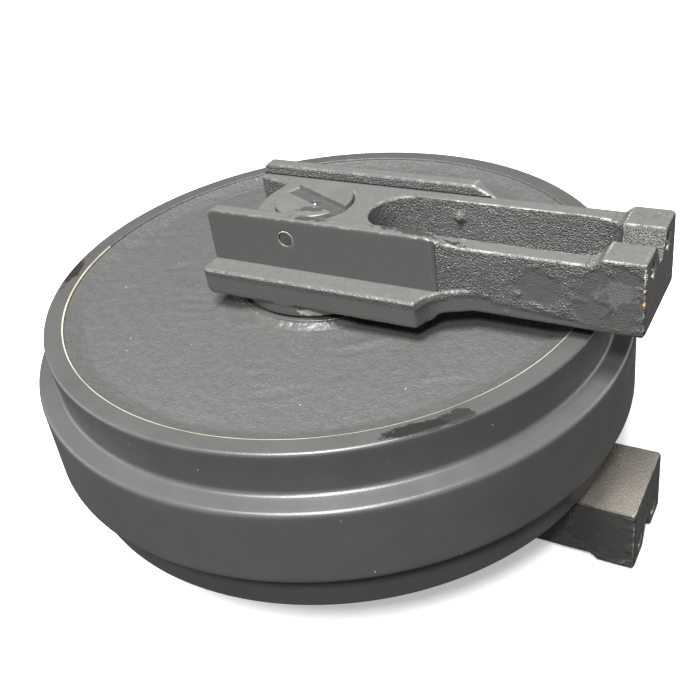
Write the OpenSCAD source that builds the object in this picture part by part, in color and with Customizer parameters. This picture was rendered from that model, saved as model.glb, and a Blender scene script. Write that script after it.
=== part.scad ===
// Front idler of a crawler excavator, lying with its axle upright.
// Millimetres. +Z runs along the axle, +X from the axle to the bolted end of the brackets.
// The origin is on the axle, in the middle plane of the wheel.
// A cast wheel of two welded halves turns on two flanged bushes over a fixed shaft.
// The shaft is pinned in two cast guide brackets, and face seals keep the oil in.

/* [Wheel] */
// Diameter over the centre flange
flange_d = 560; // [552:1:568]
// Tread diameter at the outer edge of the rim
tread_d = 527; // [521:1:531]
// Fall of the tread's radius from the rim edge to the flange
tread_fall = 3; // [1:0.5:4]
// Width of the centre flange at its outer diameter
flange_w = 72; // [66:1:76]
// Extra width of each flange side at its root
flange_slope = 3; // [2:0.5:4]
// Width of the wheel over both rim faces
rim_w = 160; // [158:1:162]
// Radial width of the turned rim face
rim_face = 18.5; // [16:0.5:20]
// Step down inside the rim face
rim_lip = 2.5; // [1.5:0.5:3]
// Radial thickness of the rim under the tread's edge
rim_t = 27.5; // [25:0.5:30]
// Depth of the web's outer edge below the rim face
web_drop = 8; // [7:0.5:9]
// Radial run of the slope between the rim lip and the web
web_slope = 17; // [14:0.5:20]
// Further fall of the web from its outer edge to the hub
web_dish = 2; // [1:0.5:3]
// Thickness of the web
web_t = 15; // [13:0.5:18]
// Depth of the girth weld below the flange's outer diameter
groove_deep = 9; // [7:0.5:12]
// Half of the girth weld's width at the flange's outer diameter
groove_half = 4.5; // [3:0.5:6]

/* [Hub] */
// Outer diameter of the hub tube's collars
hub_d = 160; // [158:1:164]
// Outer diameter of the hub tube inside the wheel
hub_waist_d = 126; // [120:1:132]
// Depth of the hub's end below the rim face
hub_inset = 5; // [4.5:0.5:6]
// Length of the hub collar behind the web
hub_shoulder = 5; // [3:0.5:8]
// Width of the hub weld on the web
weld_leg = 15; // [12:0.5:17]
// Height of the hub weld on the collar
weld_rise = 3; // [2:0.5:3.5]

/* [Axle] */
// Shaft diameter
shaft_d = 70; // [66:1:72]
// Height of the shaft's end above the bracket's top
shaft_proud = 3.5; // [3:0.25:4.5]
// Chamfer at the shaft's ends
shaft_chamfer = 0.75; // [0.5:0.25:1.5]
// Width of the milled slot across the shaft's upper end
slot_w = 16; // [14:0.5:18]
// Depth of the milled slot
slot_deep = 4.5; // [4:0.25:5]
// Direction of the milled slot, in degrees from +X
slot_turn = -24; // [-40:1:40]
// Radial running clearance of the bushes on the shaft
run_clear = 0.06; // [0.03:0.01:0.09]
// Diameter of the oil gallery in the shaft
gallery_d = 6; // [5:0.5:7]

/* [Bushes] */
// Wall thickness of the bushes
bush_wall = 6.5; // [6:0.25:7]
// Length of each bush under its flange
bush_l = 48; // [42:1:54]
// Thickness of the bush flange
bush_flange_t = 5; // [4:0.25:6]
// Radial reach of the bush flange beyond the bush
bush_flange_reach = 6; // [5:0.25:6.5]
// Axial play between each bush flange and its bracket
thrust_gap = 0.3; // [0.2:0.05:0.5]

/* [Seals] */
// Gap between the hub's end and the bracket's boss
seal_gap = 2; // [1.5:0.25:2.5]
// Radial wall of the bracket's nose round the shaft
nose_wall = 11; // [10.5:0.25:12]
// Radial gap between the nose and the seal rings
ring_gap = 3.5; // [3:0.25:4]
// Radial wall of a seal ring behind its face
ring_wall = 5; // [4.5:0.25:5.5]
// Radial reach of the seal face beyond the ring's wall
ring_lip = 5; // [4:0.25:6]
// Thickness of the seal face's flange
ring_face_t = 3.5; // [3:0.25:4]
// Section diameter of the toric rings
toric_d = 9.2; // [8.6:0.1:9.6]
// Clearance round the toric rings
toric_clear = 0.2; // [0.15:0.05:0.3]
// Widening of a seal seat towards its mouth, on the radius
seat_flare = 2; // [1:0.25:2.5]
// Gap between the two lapped seal faces
face_gap = 0.05; // [0.04:0.01:0.08]
// Section diameter of the shaft O-rings
o_ring_d = 4.4; // [4:0.1:5]

/* [Bracket guide] */
// Diameter of the bracket's boss
boss_d = 154; // [152:1:158]
// Height of the ledge's underside above the boss's end
ledge_rise = 10.5; // [9:0.5:12]
// Thickness of the ledges
ledge_t = 24.5; // [22:0.5:27]
// Width over the ledges
ledge_w = 154; // [150:1:158]
// Width over the guide faces
guide_w = 110; // [108:1:114]
// Height of the guide faces above the ledges
guide_h = 48; // [46:1:51]
// Thickness of the rails
rail_t = 12.3; // [10:0.1:13]
// Height of the rails above the bracket's top
rail_lip = 10; // [9:0.5:11]
// Distance from the axle to the rails' rear ends
rail_rear = 79.5; // [78:0.5:84]
// Distance from the axle to the front ends of the guide faces
rail_front = 136.5; // [132:0.5:141]
// Wall of the body behind the shaft
rear_wall = 14; // [12:0.5:16]
// Extra thickness of the rails' roots at their rear ends
root_step = 6; // [5:0.5:7]
// Spread of each rail's root towards the body, in degrees
root_spread = 14; // [12:0.5:15]

/* [Bracket arm] */
// Distance from the axle to the bolted end face
arm_reach = 304; // [298:1:310]
// Width of the arm
arm_w = 90; // [86:1:94]
// Height of the arm's underside above the ledges' underside
arm_lift = 4.5; // [3:0.5:6]
// Width of the arm's pocket
pocket_w = 60; // [56:1:62]
// Wall between the shaft's bore and the pocket
pocket_wall = 22; // [18:0.5:25]
// Thickness of the pocket's floor
pocket_floor = 12; // [10:0.5:14]
// Length of the end pads
pad_l = 39; // [37:0.5:42]
// Height of the end pads above the arm
pad_rise = 6; // [5:0.5:7]
// Width of the notch between the end pads, at the level of the arm's top
notch_w = 22.5; // [21.5:0.5:23.5]
// Depth of the notch below the arm's top
notch_deep = 15; // [14:0.5:16]
// Lean of the notch's sides from upright, in degrees
notch_lean = 28; // [26:0.5:29]
// Thread core diameter of the end bolts
bolt_d = 14; // [13:0.5:14.5]
// Distance between the two end bolts of a bracket
bolt_pitch = 45; // [44:0.5:48]
// Distance from the pad's top to the bolts' axis
bolt_drop = 15; // [14:0.5:17]
// Depth of the bolt holes
bolt_deep = 32; // [28:0.5:34]

/* [Small parts] */
// Diameter of the lock pins
pin_d = 14; // [13:0.5:14.5]
// Distance from the bracket's top to the lock pins' axis
pin_drop = 9; // [8.5:0.25:10]
// Depth of the lock pins in the shaft
pin_deep = 22; // [18:0.5:23]
// Diameter of the oil fill plug's collar
plug_d = 10.4; // [10:0.2:11]

/* [Hidden] */
$fn = 128;

// Overlap of joined shapes and overshoot of cuts
eps = 1;
// Radial clearance of a pressed or pinned fit
fit_clear = 0.02;
// Straight pieces in a rounded corner
arc_n = 6;

// Wheel radii and levels, upper side
flange_r = flange_d / 2;
tread_r = tread_d / 2;
tread_root_r = tread_r - tread_fall;
rim_z = rim_w / 2;
flange_z = flange_w / 2;
flange_root_z = flange_z + flange_slope;
lip_r = tread_r - rim_face;
web_edge_r = lip_r - web_slope;
web_edge_z = rim_z - web_drop;
rim_in_r = tread_r - rim_t;
hub_r = hub_d / 2;
hub_z = rim_z - hub_inset;
web_hub_z = web_edge_z - web_dish;
hub_waist_r = hub_waist_d / 2;
// Corner radii of the wheel
tread_edge_r = 3;
flange_edge_r = 4;
flange_root_r = 4;
lip_edge_r = 0.8;
web_blend_r = 22;
shell_blend_r = 12;

// Bearing and seal radii and levels, upper side
shaft_r = shaft_d / 2;
bush_in_r = shaft_r + run_clear;
bush_out_r = shaft_r + bush_wall;
bush_flange_r = bush_out_r + bush_flange_reach;
nose_r = shaft_r + nose_wall;
ring_bore_r = nose_r + ring_gap;
ring_wall_r = ring_bore_r + ring_wall;
ring_face_r = ring_wall_r + ring_lip;
toric_r = toric_d / 2;
toric_mid_r = ring_wall_r + toric_clear + toric_r;
seat_r = toric_mid_r + toric_r + toric_clear;
seat_deep = seal_gap / 2 + ring_face_t + toric_d + toric_clear;
ring_end_gap = 2;
ring_h = ring_face_t + toric_d - ring_end_gap;
seal_z = hub_z + seal_gap / 2;
boss_z = hub_z + seal_gap;
hub_seat_z = seal_z - seat_deep;
bracket_seat_z = seal_z + seat_deep;
nose_z = hub_seat_z + bush_flange_t + thrust_gap;
toric_drop = face_gap / 2 + ring_face_t + toric_clear + toric_r;
ring_relief = 2;

// Bracket levels, upper side
ledge_z0 = boss_z + ledge_rise;
ledge_z1 = ledge_z0 + ledge_t;
rail_z = ledge_z1 + guide_h;
body_z = rail_z - rail_lip;
arm_z0 = ledge_z0 + arm_lift;
pad_z = body_z + pad_rise;
shaft_z = body_z + shaft_proud;
boss_roof = 12;
// Bracket plan sizes
boss_r = boss_d / 2;
guide_y = guide_w / 2;
rail_y = guide_y - rail_t;
root_y = rail_y - root_step;
gap_y = root_y - rail_rear * tan(root_spread);
ledge_y = ledge_w / 2;
arm_y = arm_w / 2;
ledge_end_back = 8;
ledge_end_y = guide_y + 3;
ledge_run = 30;
rail_run = 18;
lip_run = 2;
pocket_x0 = shaft_r + pocket_wall;
pocket_under = 7;
pocket_x1 = arm_reach - pad_l + pocket_under;
pocket_z = arm_z0 + pocket_floor;
pocket_draft = 3;
pad_x = arm_reach - pad_l;
notch_floor_y = notch_w / 2 - notch_deep * tan(notch_lean);
notch_top_y = notch_w / 2 + (rail_z - body_z) * tan(notch_lean);
rear_r = 85;
rear_x = rear_r - shaft_r - rear_wall;
// Corner radii of the bracket
rail_corner_r = 7;
ledge_corner_r = 8;
cast_r = 3;
ledge_cove_r = 24;
rail_cove_r = 16;
arm_corner_r = 3;
pocket_fillet_r = 9;
pocket_end_r = 24;
notch_r = 2.5;
bolt_chamfer = 1.5;
bore_chamfer = 1.5;
thread_r = bolt_d / 2;
bolt_z = pad_z - bolt_drop;

// Lock pin, O-ring and plug sizes
pin_r = pin_d / 2;
pin_z = body_z - pin_drop;
pin_back = 0.5;
pin_chamfer = 1;
o_ring_r = o_ring_d / 2;
o_ring_clear = 0.05;
o_ring_mid_r = shaft_r - o_ring_clear - o_ring_r;
o_ring_z = bracket_seat_z + 16;
o_groove_half = o_ring_r + 0.6;
gallery_r = gallery_d / 2;
plug_r = plug_d / 2;
plug_seat_r = plug_r + 0.4;
plug_seat_z = shaft_z - slot_deep - 5;
washer_t = 1.2;
collar_t = 2.2;
plug_stem_r = gallery_r + 1;
plug_stem_l = 9;
plug_dome_r = 3.3;
plug_dome_h = 2.4;

// Points of an arc about c, from angle a to angle b
function arc(c, r, a, b) =
    [for (i = [0:arc_n]) c + r * [cos(a + (b - a) * i / arc_n), sin(a + (b - a) * i / arc_n)]];
// Difference of two angles, from -180 to 180
function swing(a, b) = (b - a + 540) % 360 - 180;
// Length-one vector
function unit(v) = v / norm(v);
// Rounded corner at b between a and c
function corner(a, b, c, r) =
    let (u = unit(a - b))
    let (v = unit(c - b))
    let (h = acos(u * v) / 2)
    let (m = b + unit(u + v) * r / sin(h))
    let (p = b + u * r / tan(h) - m)
    let (q = b + v * r / tan(h) - m)
    let (s = atan2(p[1], p[0]))
    arc(m, r, s, s + swing(s, atan2(q[1], q[0])));
// First two numbers of a corner [x, y, radius]
function xy(p) = [p[0], p[1]];
// Outline through corners [x, y, radius]
function outline(k) =
    let (n = len(k))
    [for (i = [0:n - 1])
        for (p = k[i][2] > 0
            ? corner(xy(k[(i + n - 1) % n]), xy(k[i]), xy(k[(i + 1) % n]), k[i][2])
            : [xy(k[i])]) p];
// One side of a plan outline and its mirror image, as one closed run
function both_sides(k) =
    concat(k, [for (i = [len(k) - 1:-1:0]) [k[i][0], -k[i][1], k[i][2]]]);
// Level of the web's outer face at a radius
function web_z(r) = web_hub_z + web_dish * (r - hub_r) / (web_edge_r - hub_r);

// Cast half of the wheel, upper side
module half_shell() {
    rotate_extrude()
        polygon(outline([
            [hub_r, web_hub_z - web_t, 0],
            [rim_in_r, web_edge_z - web_t, shell_blend_r],
            [rim_in_r, 0, 0],
            [flange_r - groove_deep, 0, 0],
            [flange_r, groove_half, 0],
            [flange_r, flange_z, flange_edge_r],
            [tread_root_r, flange_root_z, flange_root_r],
            [tread_r, rim_z, tread_edge_r],
            [lip_r, rim_z, lip_edge_r],
            [lip_r, rim_z - rim_lip, lip_edge_r],
            [web_edge_r, web_edge_z, web_blend_r],
            [hub_r, web_hub_z, 0]]));
}

// Bead between the hub collar and the web, upper side
module hub_weld() {
    rotate_extrude()
        polygon(concat(
            [[hub_r, web_hub_z]],
            [for (i = [0:arc_n])
                let (a = 90 * i / arc_n)
                let (r = hub_r + weld_leg * cos(a))
                [r, web_z(r) + weld_rise * sin(a)]]));
}

// Outer half of the hub tube's section, upper side
function hub_side() = [
    [seat_r, hub_seat_z, 0],
    [seat_r + seat_flare, hub_z, 0],
    [hub_r, hub_z, lip_edge_r],
    [hub_r, web_hub_z - web_t - hub_shoulder, 0],
    [hub_waist_r, web_hub_z - web_t - hub_shoulder - (hub_r - hub_waist_r), flange_root_r]];

// Flanged bush, upper side
module bush() {
    rotate_extrude()
        polygon([
            [bush_in_r, hub_seat_z - bush_l],
            [bush_out_r, hub_seat_z - bush_l],
            [bush_out_r, hub_seat_z],
            [bush_flange_r, hub_seat_z],
            [bush_flange_r, hub_seat_z + bush_flange_t],
            [bush_in_r, hub_seat_z + bush_flange_t]]);
}

// Metal seal ring that turns with the wheel, upper side
module rotating_ring() {
    face = seal_z - face_gap / 2;
    rotate_extrude()
        polygon([
            [ring_bore_r, face - ring_h],
            [ring_wall_r, face - ring_h],
            [ring_wall_r, face - ring_face_t],
            [ring_face_r, face - ring_face_t],
            [ring_face_r, face],
            [ring_bore_r + ring_relief, face],
            [ring_bore_r, face - ring_relief]]);
}

// Toric ring that carries the turning seal ring, upper side
module rotating_toric() {
    translate([0, 0, seal_z - toric_drop])
        rotate_extrude()
            translate([toric_mid_r, 0])
                circle(r = toric_r);
}

// Moves the turning seal parts to the bracket's side of the seal faces
module seal_flip() {
    translate([0, 0, 2 * seal_z])
        mirror([0, 0, 1])
            children();
}

// O-ring in the shaft's groove, upper side
module shaft_ring() {
    translate([0, 0, o_ring_z])
        rotate_extrude()
            translate([o_ring_mid_r, 0])
                circle(r = o_ring_r);
}

// Groove for the O-ring, upper side
module o_groove() {
    translate([0, 0, o_ring_z - o_groove_half])
        difference() {
            cylinder(r = shaft_r + eps, h = 2 * o_groove_half);
            translate([0, 0, -eps])
                cylinder(r = o_ring_mid_r - o_ring_r - o_ring_clear, h = 2 * (o_groove_half + eps));
        }
}

// Round bar along Y for the lock pin, upper side
module pin_bar(r, y0, y1) {
    translate([0, y0, pin_z])
        rotate([-90, 0, 0])
            cylinder(r = r, h = y1 - y0);
}

// Lock pin, upper side
module lock_pin() {
    translate([0, -guide_y + pin_back, pin_z])
        rotate([-90, 0, 0])
            rotate_extrude()
                polygon([
                    [0, 0],
                    [pin_r - pin_chamfer, 0],
                    [pin_r, pin_chamfer],
                    [pin_r, guide_y - pin_back - shaft_r + pin_deep - pin_chamfer],
                    [pin_r - pin_chamfer, guide_y - pin_back - shaft_r + pin_deep],
                    [0, guide_y - pin_back - shaft_r + pin_deep]]);
}

// Slab between two levels with a plan outline of rounded corners
module slab(k, z0, z1) {
    translate([0, 0, z0])
        linear_extrude(height = z1 - z0)
            polygon(outline(k));
}

// Side outline swept across the whole bracket
module side_sweep(k) {
    rotate([90, 0, 0])
        linear_extrude(height = 2 * ledge_y + eps, center = true)
            polygon(outline(k));
}

// Cast outer form of the bracket, upper side
module bracket_form() {
    intersection() {
        union() {
            slab(both_sides([
                [-rail_rear, ledge_y, cast_r],
                [rail_front - ledge_end_back, ledge_y, cast_r],
                [rail_front, ledge_end_y, ledge_cove_r],
                [rail_front + ledge_run, arm_y, ledge_cove_r],
                [arm_reach, arm_y, cast_r]]), ledge_z0, ledge_z1);
            slab(both_sides([
                [-rail_rear, guide_y, 0],
                [rail_front, guide_y, 0],
                [rail_front + rail_run, arm_y, rail_cove_r],
                [arm_reach, arm_y, cast_r]]), ledge_z0, rail_z);
        }
        side_sweep([
            [-rail_rear, ledge_z0, ledge_corner_r],
            [rail_front, ledge_z0, cast_r],
            [rail_front + arm_lift, arm_z0, cast_r],
            [arm_reach, arm_z0, arm_corner_r],
            [arm_reach, pad_z, cast_r],
            [pad_x + pad_rise, pad_z, cast_r],
            [pad_x, body_z, cast_r],
            [rail_front + rail_run, body_z, cast_r],
            [rail_front - lip_run, rail_z, cast_r],
            [-rail_rear, rail_z, rail_corner_r]]);
    }
}

// Open space between the rails: behind the body and above its top
module rail_space() {
    difference() {
        slab(both_sides([
            [-rail_rear - eps, root_y, 0],
            [0, gap_y, 0]]), ledge_z0 - eps, rail_z + eps);
        translate([rear_x, 0, 0])
            cylinder(r = rear_r, h = rail_z + 2 * eps);
    }
    translate([-rail_rear - eps, -rail_y, body_z])
        cube([rail_rear + rail_front + rail_run + eps, 2 * rail_y, rail_z]);
}

// Pocket in the arm, open outwards
module arm_pocket() {
    top_y = pocket_w / 2;
    floor_y = top_y - pocket_draft;
    intersection() {
        rotate([90, 0, 90])
            linear_extrude(height = arm_reach)
                polygon(outline([
                    [-floor_y, pocket_z, pocket_fillet_r],
                    [floor_y, pocket_z, pocket_fillet_r],
                    [top_y, body_z, 0],
                    [top_y, rail_z + eps, 0],
                    [-top_y, rail_z + eps, 0],
                    [-top_y, body_z, 0]]));
        union() {
            translate([pocket_x0 + top_y, 0, 0])
                cylinder(r = top_y, h = rail_z + 2 * eps);
            slab(both_sides([
                [pocket_x0 + top_y, top_y, 0],
                [pocket_x1, top_y, pocket_end_r]]), 0, rail_z + 2 * eps);
        }
    }
}

// Notch between the end pads
module end_notch() {
    rotate([90, 0, 90])
        translate([0, 0, pad_x - pad_rise])
            linear_extrude(height = pad_l + pad_rise + eps)
                polygon(outline([
                    [-notch_floor_y, body_z - notch_deep, notch_r],
                    [notch_floor_y, body_z - notch_deep, notch_r],
                    [notch_top_y, rail_z, 0],
                    [-notch_top_y, rail_z, 0]]));
}

// One tapped end hole on the +Y or -Y side
module bolt_hole(side) {
    translate([arm_reach, side * bolt_pitch / 2, bolt_z])
        rotate([0, -90, 0]) {
            translate([0, 0, -eps])
                cylinder(r = thread_r, h = bolt_deep + eps);
            cylinder(r1 = thread_r + bolt_chamfer, r2 = thread_r, h = bolt_chamfer);
        }
}

// Cast guide bracket, upper side
module bracket() {
    difference() {
        union() {
            difference() {
                union() {
                    difference() {
                        bracket_form();
                        rail_space();
                    }
                    translate([0, 0, boss_z])
                        cylinder(r = boss_r, h = bracket_seat_z - boss_z + boss_roof);
                }
                translate([0, 0, boss_z])
                    cylinder(r1 = seat_r + seat_flare, r2 = seat_r, h = bracket_seat_z - boss_z);
            }
            translate([0, 0, nose_z])
                cylinder(r = nose_r, h = bracket_seat_z - nose_z + eps);
        }
        cylinder(r = shaft_r + fit_clear, h = rail_z);
        translate([0, 0, body_z - bore_chamfer])
            cylinder(r1 = shaft_r, r2 = shaft_r + bore_chamfer, h = bore_chamfer);
        arm_pocket();
        end_notch();
        bolt_hole(1);
        bolt_hole(-1);
        pin_bar(pin_r + fit_clear, -guide_y - eps, 0);
    }
}

module upper_half_shell() {
    color("#3a3c3f")
        half_shell();
}

module lower_half_shell() {
    color("#3a3c3f")
        mirror([0, 0, 1])
            half_shell();
}

module girth_weld() {
    color("#404246")
        rotate_extrude()
            polygon([
                [flange_r - groove_deep, 0],
                [flange_r, -groove_half],
                [flange_r, groove_half]]);
}

module hub_tube() {
    color("#4a4c50")
        rotate_extrude()
            polygon(outline(concat(
                [[bush_out_r, hub_seat_z, 0]],
                hub_side(),
                [for (i = [len(hub_side()) - 1:-1:0])
                    [hub_side()[i][0], -hub_side()[i][1], hub_side()[i][2]]],
                [[bush_out_r, -hub_seat_z, 0]])));
}

module upper_hub_weld() {
    color("#46484c")
        hub_weld();
}

module lower_hub_weld() {
    color("#46484c")
        mirror([0, 0, 1])
            hub_weld();
}

module upper_bushing() {
    color("#b08d57")
        bush();
}

module lower_bushing() {
    color("#b08d57")
        mirror([0, 0, 1])
            bush();
}

module upper_rotating_seal_ring() {
    color("#b9bcc0")
        rotating_ring();
}

module lower_rotating_seal_ring() {
    color("#b9bcc0")
        mirror([0, 0, 1])
            rotating_ring();
}

module upper_rotating_toric() {
    color("#1c1c1c")
        rotating_toric();
}

module lower_rotating_toric() {
    color("#1c1c1c")
        mirror([0, 0, 1])
            rotating_toric();
}

module upper_static_seal_ring() {
    color("#b9bcc0")
        seal_flip()
            rotating_ring();
}

module lower_static_seal_ring() {
    color("#b9bcc0")
        mirror([0, 0, 1])
            seal_flip()
                rotating_ring();
}

module upper_static_toric() {
    color("#1c1c1c")
        seal_flip()
            rotating_toric();
}

module lower_static_toric() {
    color("#1c1c1c")
        mirror([0, 0, 1])
            seal_flip()
                rotating_toric();
}

module shaft() {
    color("#55585c")
        difference() {
            rotate_extrude()
                polygon([
                    [0, -shaft_z],
                    [shaft_r - shaft_chamfer, -shaft_z],
                    [shaft_r, -shaft_z + shaft_chamfer],
                    [shaft_r, shaft_z - shaft_chamfer],
                    [shaft_r - shaft_chamfer, shaft_z],
                    [0, shaft_z]]);
            rotate([0, 0, slot_turn])
                translate([-shaft_d, -slot_w / 2, shaft_z - slot_deep])
                    cube([2 * shaft_d, slot_w, slot_deep + eps]);
            translate([0, 0, plug_seat_z])
                cylinder(r = plug_seat_r, h = shaft_z - plug_seat_z);
            translate([0, 0, plug_seat_z - plug_stem_l])
                cylinder(r = plug_stem_r + fit_clear, h = plug_stem_l + eps);
            translate([0, 0, -gallery_r])
                cylinder(r = gallery_r, h = shaft_z - eps);
            translate([-shaft_d, 0, 0])
                rotate([0, 90, 0])
                    cylinder(r = gallery_r, h = 2 * shaft_d);
            o_groove();
            mirror([0, 0, 1])
                o_groove();
            pin_bar(pin_r + fit_clear, -shaft_d, -shaft_r + pin_deep);
            mirror([0, 0, 1])
                pin_bar(pin_r + fit_clear, -shaft_d, -shaft_r + pin_deep);
        }
}

module upper_bracket() {
    color("#36383b")
        bracket();
}

module lower_bracket() {
    color("#36383b")
        mirror([0, 0, 1])
            bracket();
}

module upper_shaft_o_ring() {
    color("#1c1c1c")
        shaft_ring();
}

module lower_shaft_o_ring() {
    color("#1c1c1c")
        mirror([0, 0, 1])
            shaft_ring();
}

module upper_lock_pin() {
    color("#6a6d72")
        lock_pin();
}

module lower_lock_pin() {
    color("#6a6d72")
        mirror([0, 0, 1])
            lock_pin();
}

module oil_fill_plug() {
    color("#c4c6c8")
        translate([0, 0, plug_seat_z + washer_t]) {
            cylinder(r = plug_r, h = collar_t);
            translate([0, 0, collar_t - eps])
                cylinder(r1 = plug_dome_r, r2 = plug_dome_r / 2, h = plug_dome_h + eps);
            translate([0, 0, -washer_t - plug_stem_l + eps])
                cylinder(r = plug_stem_r, h = plug_stem_l + washer_t);
        }
}

module plug_seal_washer() {
    color("#a8683a")
        translate([0, 0, plug_seat_z])
            difference() {
                cylinder(r = plug_r, h = washer_t);
                translate([0, 0, -eps])
                    cylinder(r = plug_stem_r + fit_clear, h = washer_t + 2 * eps);
            }
}

upper_half_shell();
lower_half_shell();
girth_weld();
hub_tube();
upper_hub_weld();
lower_hub_weld();
upper_bushing();
lower_bushing();
upper_rotating_seal_ring();
lower_rotating_seal_ring();
upper_rotating_toric();
lower_rotating_toric();
shaft();
upper_bracket();
lower_bracket();
upper_static_seal_ring();
lower_static_seal_ring();
upper_static_toric();
lower_static_toric();
upper_shaft_o_ring();
lower_shaft_o_ring();
upper_lock_pin();
lower_lock_pin();
oil_fill_plug();
plug_seal_washer();
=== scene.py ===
"""Dress of a crawler excavator's front idler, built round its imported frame.

Metres, in the frame of the part: origin on the axle in the wheel's middle plane, +Z along the
axle, +X from the axle to the bolted end of the brackets. Sizes below are in millimetres.
"""
import logging
import math
from dataclasses import dataclass
from enum import Enum

import bmesh
import bpy
from mathutils import Matrix, Vector, noise
from mathutils.geometry import intersect_point_line


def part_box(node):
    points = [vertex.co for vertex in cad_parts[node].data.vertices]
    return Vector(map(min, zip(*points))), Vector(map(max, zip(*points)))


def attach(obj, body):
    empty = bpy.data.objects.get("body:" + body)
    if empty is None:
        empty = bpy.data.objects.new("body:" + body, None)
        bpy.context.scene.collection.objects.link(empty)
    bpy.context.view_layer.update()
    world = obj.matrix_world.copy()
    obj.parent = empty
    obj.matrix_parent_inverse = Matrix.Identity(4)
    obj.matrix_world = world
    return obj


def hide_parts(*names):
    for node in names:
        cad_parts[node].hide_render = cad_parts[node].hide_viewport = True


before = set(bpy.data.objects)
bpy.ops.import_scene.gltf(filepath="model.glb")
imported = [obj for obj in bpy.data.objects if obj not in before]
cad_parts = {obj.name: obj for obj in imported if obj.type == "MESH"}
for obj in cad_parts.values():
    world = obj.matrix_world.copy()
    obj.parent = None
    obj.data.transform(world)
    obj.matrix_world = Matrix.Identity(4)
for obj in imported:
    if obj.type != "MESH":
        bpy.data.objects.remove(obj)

LOG = logging.getLogger("front_idler")
Flat = tuple[float, float]
Point = tuple[float, float, float]
Tree = bpy.types.NodeTree
Socket = bpy.types.NodeSocket
Material = bpy.types.Material
BMesh = bmesh.types.BMesh

MM = 0.001
FULL_TURN = 2 * math.pi
# Per-vertex shares: raw cast skin, and worn edges (positive) or corners with painted shade and grime
# (negative).
SKIN = "cast_skin"
EDGE = "edge_wear_and_corner_shade"
# Edges of a rounded corner, and how near vertices are merged in a copied solid and in a spun ring.
ROUND_STEPS = 6
MERGE_SOLID = 1e-6
MERGE_RING = 2e-6
# Nearly all values of a noise fall between these two.
NOISE_LOW = 0.3
NOISE_HIGH = 0.7
# Sand grains run into each other a little; skin keeps about half of its height in each finer layer.
SAND_SMOOTH = 0.35
SKIN_FINE = 0.55
# Gloss varies in patches smaller than the mottles of the colour, by this share.
SHEEN_SHARE = 0.37
# Dust, and painted light that makes the tops paler, lie on faces whose normal's rise is past the first
# value, in full past the second.
DUST_AND_TOP_LIGHT_LIES = (0.4, 0.95)
# Worn edges break up in patches of this size and never lose all of their paint.
WORN_PATCH = 7.0
WORN_MOST = 0.7
# Painted shade with grime in the corners: near black, and dull.
CORNER_SHADE_AND_GRIME = "#262625"
CORNER_SHADE_MOST = 0.8
CORNER_SHADE_GLOSS = 0.75
# Pale specks: one cell in a few carries a speck, with an edge between the two shares of a cell.
SPECK = "#b9b8b2"
SPECK_CELL = 9.0
SPECK_EDGE = (0.075, 0.045)
# Oil smears on bare running parts, and how tool marks are drawn out round the axle.
SMEAR = 9.0
TOOL_STRETCH = (0.15, 0.15, 1.0)


def linear(code: str) -> tuple[float, float, float, float]:
    """Turns an sRGB hex colour to linear RGBA.

    Args:
        code: The colour as #rrggbb.

    Returns:
        Linear red, green, blue and an alpha of one.
    """
    parts = [int(code[i:i + 2], 16) / 255 for i in (1, 3, 5)]
    low = [c / 12.92 if c <= 0.04045 else ((c + 0.055) / 1.055) ** 2.4 for c in parts]
    return low[0], low[1], low[2], 1.0


def ease(start: float, end: float, value: float) -> float:
    """Smooth step from 0 at start to 1 at end.

    Args:
        start: Value where the step begins.
        end: Value where the step is complete.
        value: Value to place.

    Returns:
        The eased share from 0 to 1.
    """
    share = min(1.0, max(0.0, (value - start) / (end - start)))
    return share * share * (3 - 2 * share)


def add_node(tree: Tree, kind: str, settings: dict[str, object],
             links: dict[str | int, object]) -> bpy.types.Node:
    """Adds a shader node with its settings, socket values and links.

    Args:
        tree: The node tree that gets the node.
        kind: The node's type name.
        settings: Attributes of the node.
        links: Socket name or index to a value, or to the output socket that feeds it.

    Returns:
        The new node.
    """
    node = tree.nodes.new(kind)
    for key, value in settings.items():
        setattr(node, key, value)
    for key, value in links.items():
        if isinstance(value, Socket):
            tree.links.new(value, node.inputs[key])
        else:
            node.inputs[key].default_value = value
    return node


def cloud(tree: Tree, place: Socket, size: float, detail: float = 2.0, roughness: float = 0.5) -> Socket:
    """Value of a noise whose patches have a real size, in millimetres."""
    return add_node(tree, "ShaderNodeTexNoise", {}, {
        "Vector": place, "Scale": 1 / (size * MM), "Detail": detail, "Roughness": roughness}).outputs["Fac"]


def remap(tree: Tree, value: Socket, start: float, end: float, low: float | Socket = 0.0,
          high: float = 1.0) -> Socket:
    """Value that goes from low at start to high at end and stays between them."""
    return add_node(tree, "ShaderNodeMapRange", {}, {
        "Value": value, "From Min": start, "From Max": end, "To Min": low, "To Max": high}).outputs["Result"]


def mixed(tree: Tree, share: Socket, under: str | Socket, over: str | Socket) -> Socket:
    """Colour of a share of one over another, each as a hex code or a socket."""
    below, above = (linear(tint) if isinstance(tint, str) else tint for tint in (under, over))
    return add_node(tree, "ShaderNodeMix", {"data_type": "RGBA"}, {0: share, 6: below, 7: above}).outputs[2]


def combined(tree: Tree, operation: str, one: Socket, other: float | Socket) -> Socket:
    """Result of a math node's operation on two values."""
    return add_node(tree, "ShaderNodeMath", {"operation": operation}, {0: one, 1: other}).outputs[0]


def carried(tree: Tree, name: str) -> Socket:
    """Share that the mesh carries at each vertex under a name."""
    return add_node(tree, "ShaderNodeAttribute", {"attribute_name": name}, {}).outputs["Fac"]


def blank_finish(name: str) -> tuple[Material, bpy.types.Node, Socket]:
    """Starts a material.

    Args:
        name: Name of the finish.

    Returns:
        The material, its shader and the object coordinates.
    """
    made = bpy.data.materials.new(name)
    made.use_nodes = True
    place = add_node(made.node_tree, "ShaderNodeTexCoord", {}, {}).outputs["Object"]
    return made, made.node_tree.nodes["Principled BSDF"], place


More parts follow.
